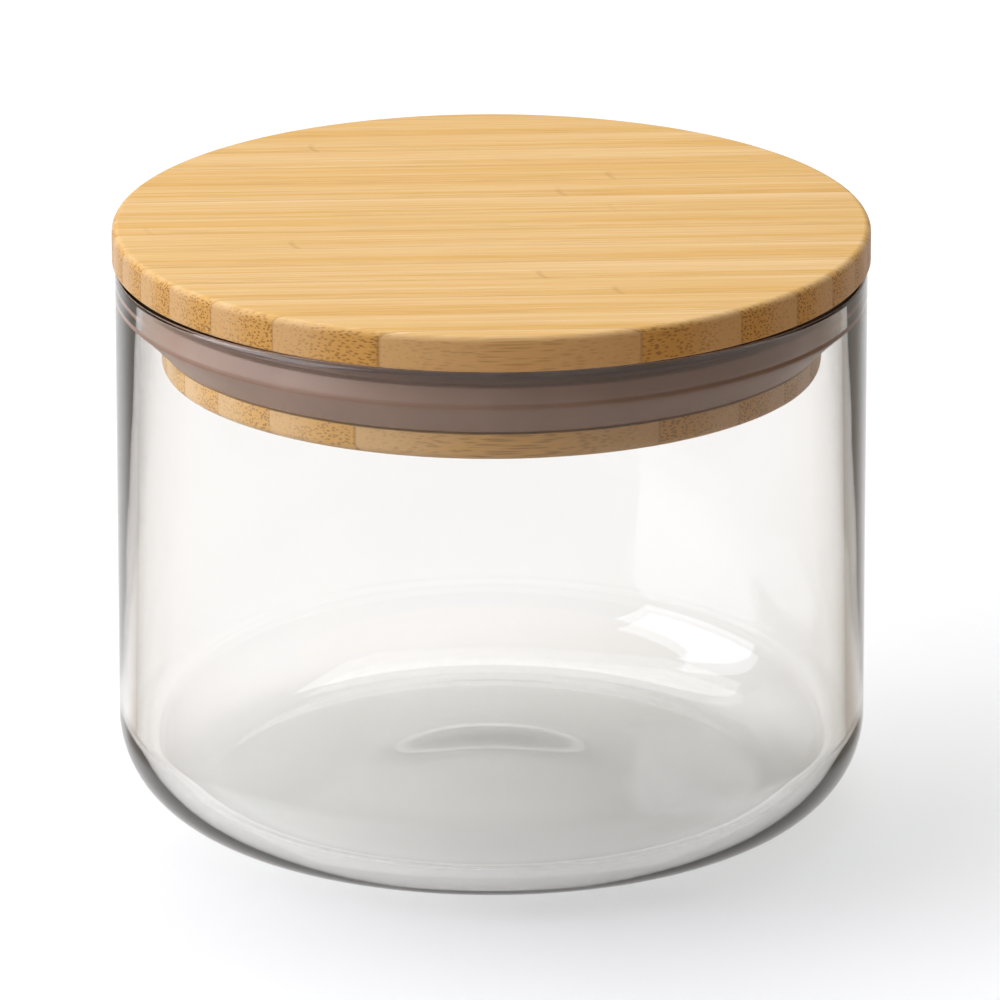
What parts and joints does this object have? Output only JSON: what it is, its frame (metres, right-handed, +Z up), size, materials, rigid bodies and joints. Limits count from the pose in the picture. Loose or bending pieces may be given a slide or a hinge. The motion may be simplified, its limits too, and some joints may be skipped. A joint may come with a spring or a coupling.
{
  "type": "glass storage container",
  "caption": "Straight-walled round glass storage jar with a rounded base and a push-in laminated bamboo lid, sealed by a silicone ring.",
  "frame": {"origin": "centre of the jar's foot, on the surface that it stands on", "axes": "+Z up along the jar's axis; +X along the grain of the lid's bamboo strips; -Y is the front"},
  "size_m": [0.1, 0.1, 0.08],
  "materials": {
    "glass": "clear, polished",
    "bamboo": "sanded and lightly oiled",
    "silicone": "satin taupe"
  },
  "bodies": {
    "container": {"glass_jar": "glass"},
    "seal": {"silicone_seal": "silicone"},
    "lid": {"lid_strip_01": "bamboo", "lid_strip_02": "bamboo", "lid_strip_03": "bamboo", "lid_strip_04": "bamboo", "lid_strip_05": "bamboo", "lid_strip_06": "bamboo", "lid_strip_07": "bamboo", "lid_strip_08": "bamboo", "lid_strip_09": "bamboo", "lid_strip_10": "bamboo", "lid_strip_11": "bamboo", "lid_strip_12": "bamboo", "lid_strip_13": "bamboo", "lid_strip_14": "bamboo", "lid_strip_15": "bamboo"}
  },
  "joints": [
    {"name": "lid_lift", "type": "slide", "parent": "container", "child": "seal", "axis": [0, 0, 1], "range_m": [0, 0.08]},
    {"name": "lid_turn", "type": "hinge", "parent": "seal", "child": "lid", "pos_m": [0, 0, 0.075], "axis": [0, 0, 1], "continuous": true}
  ]
}
